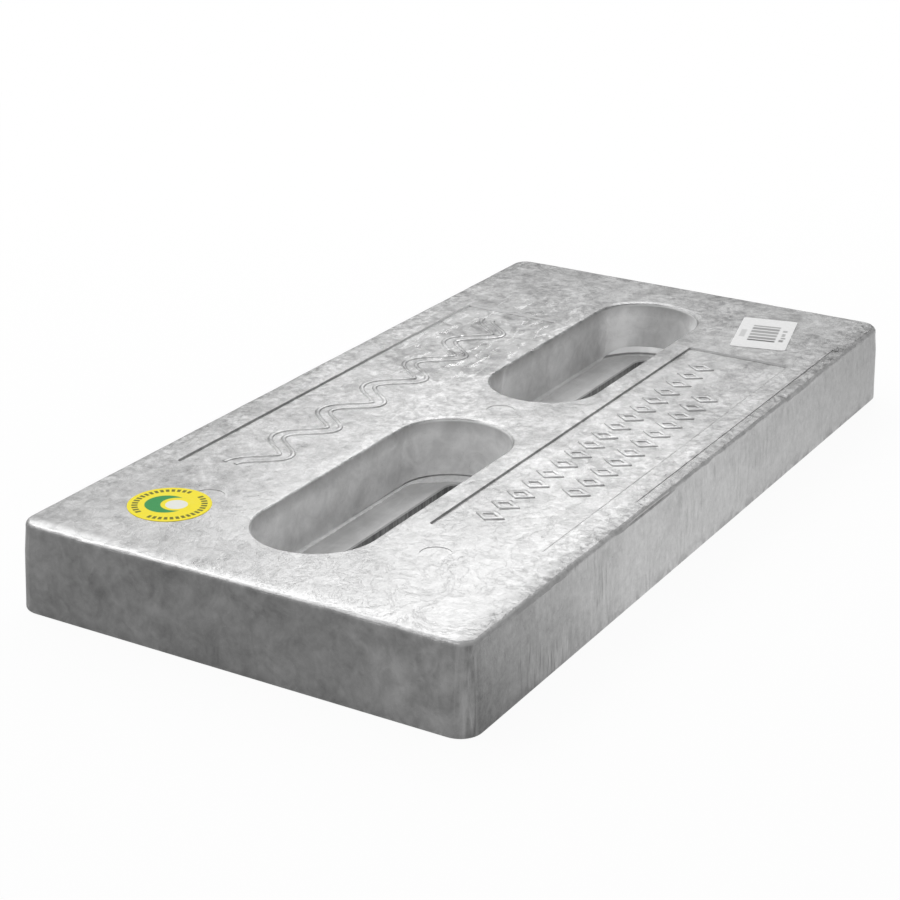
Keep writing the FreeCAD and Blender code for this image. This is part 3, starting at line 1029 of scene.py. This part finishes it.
def inside_block(tree, along, across, centre, half, soft=0.25):
    """1 inside an upright rectangle in mm, 0 outside, with a soft edge."""
    masks = []
    for value, middle, reach in ((along, centre[0], half[0]), (across, centre[1], half[1])):
        masks.append(fading(tree, from_level(tree, value, middle), reach - soft, reach + soft))
    return times(tree, *masks)


def printed_paper():
    """Matt white paper with plain bars and small blocks."""
    material, tree, surface = shader_tree("printed_white_paper")
    place = put(tree, "ShaderNodeTexCoord").outputs["Object"]
    along, across = on_label(tree, place, LABEL_CENTRE, LABEL_TURN)
    blocks = [((middle, 0.0), (half, BAR_HALF), dark) for middle, half, dark in BARS]
    ink = weighed(tree, *[(inside_block(tree, along, across, centre, half), dark)
                          for centre, half, dark in (*blocks, *SIDE_BLOCKS)])
    fibre = grain(tree, place, 0.9, detail=3.0)
    paper = toned(tree, spread(tree, fibre, 0.3, 0.7), PAPER_TONES)
    tree.links.new(blend_colour(tree, ink, paper, grey(INK_TONE)), surface.inputs["Base Color"])
    surface.inputs["Roughness"].default_value = 0.6
    surface.inputs["Specular IOR Level"].default_value = 0.2
    give_relief(tree, surface, fibre, LABEL_RELIEF)
    return material


bar_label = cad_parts["bar_label"]
bar_label.material_slots[0].material = printed_paper()


# The studio: a white floor that fades to plain white behind, large soft lamps, and the camera at the
# photograph's angle. Reflected in the metal, the floor is a card that is greyer on the near side.
FLOOR_SIZE = 8.0
FLOOR_GREY = 0.86
FLOOR_REAL = 0.30
FLOOR_FADED = 0.62
FLOOR_WHITE = 0.94
CARD_X = (-0.16, -0.05)
CARD_LEVELS = (0.40, 1.10)
bpy.ops.object.select_all(action="DESELECT")
bpy.ops.mesh.primitive_grid_add(x_subdivisions=8, y_subdivisions=8, size=FLOOR_SIZE, location=(0, 0, 0))
studio_floor = bpy.context.active_object
studio_floor.name = "studio_floor"
floor_paint, floor_tree, floor_surface = shader_tree("white_floor")
floor_surface.inputs["Base Color"].default_value = grey(FLOOR_GREY)
floor_surface.inputs["Roughness"].default_value = 1.0
floor_surface.inputs["Specular IOR Level"].default_value = 0.0
spot = put(floor_tree, "ShaderNodeTexCoord").outputs["Object"]
path = put(floor_tree, "ShaderNodeLightPath")
camera_white = spread(floor_tree, length_of(floor_tree, spot), FLOOR_REAL, FLOOR_FADED, FLOOR_WHITE, 1.0)
along_floor = put(floor_tree, "ShaderNodeSeparateXYZ", {0: spot}).outputs["X"]
card_level = spread(floor_tree, along_floor, *CARD_X, *CARD_LEVELS)
seen = path.outputs["Is Camera Ray"]
level = put(floor_tree, "ShaderNodeMix", {0: seen, 2: card_level, 3: 1.0}).outputs[0]
white = put(floor_tree, "ShaderNodeEmission", {"Color": grey(1.0), "Strength": level}).outputs[0]
whitened = maths(floor_tree, "MAXIMUM", times(floor_tree, seen, camera_white),
                 path.outputs["Is Glossy Ray"])
floor_mix = put(floor_tree, "ShaderNodeMixShader", {0: whitened, 1: floor_surface.outputs[0], 2: white})
floor_out = next(n for n in floor_tree.nodes if n.type == "OUTPUT_MATERIAL")
floor_tree.links.new(floor_mix.outputs[0], floor_out.inputs["Surface"])
studio_floor.data.materials.append(floor_paint)

WORLD_LEVEL = 0.48
world = bpy.data.worlds.new("studio_world")
bpy.context.scene.world = world
world.use_nodes = True
background = next(n for n in world.node_tree.nodes if n.type == "BACKGROUND")
background.inputs["Color"].default_value = grey(1.0)
background.inputs["Strength"].default_value = WORLD_LEVEL


def soft_lamp(name, bearing, height, distance, size, power):
    """A square soft lamp that points at the object, placed by bearing and height in degrees."""
    a, h = math.radians(bearing), math.radians(height)
    place = Vector((math.cos(a) * math.cos(h), math.sin(a) * math.cos(h), math.sin(h))) * distance
    light = bpy.data.lights.new(name, "AREA")
    light.size = size
    light.energy = power
    lamp = bpy.data.objects.new(name, light)
    lamp.location = place
    lamp.rotation_euler = place.to_track_quat("Z", "Y").to_euler()
    bpy.context.scene.collection.objects.link(lamp)


# Bearing and height in degrees, distance and size in metres, and power in watts
for lamp_values in (("back_lamp", 24, 44, 0.85, 0.5, 2.3), ("wide_lamp", 78, 46, 1.4, 0.9, 4.4),
                    ("left_lamp", 122, 50, 1.4, 0.5, 2.0), ("top_lamp", 188, 60, 1.2, 0.4, 1.4)):
    soft_lamp(*lamp_values)

CAMERA_PLACE = Vector((-591.136, -322.455, 286.262)) * MM
CAMERA_AIM = Vector((-9.7, 13.3, 14.5)) * MM
CAMERA_ROLL = math.radians(0.73)
CAMERA_LENS = 88.363
SENSOR_WIDTH = 36.0
camera_data = bpy.data.cameras.new("photo_camera")
camera_data.lens = CAMERA_LENS
camera_data.sensor_width = SENSOR_WIDTH
camera = bpy.data.objects.new("photo_camera", camera_data)
bpy.context.scene.collection.objects.link(camera)
camera.location = CAMERA_PLACE
look = (CAMERA_AIM - CAMERA_PLACE).to_track_quat("-Z", "Y").to_matrix().to_4x4()
camera.rotation_euler = (look @ Matrix.Rotation(CAMERA_ROLL, 4, "Z")).to_euler()
bpy.context.scene.camera = camera
bpy.context.scene.view_settings.view_transform = "Standard"
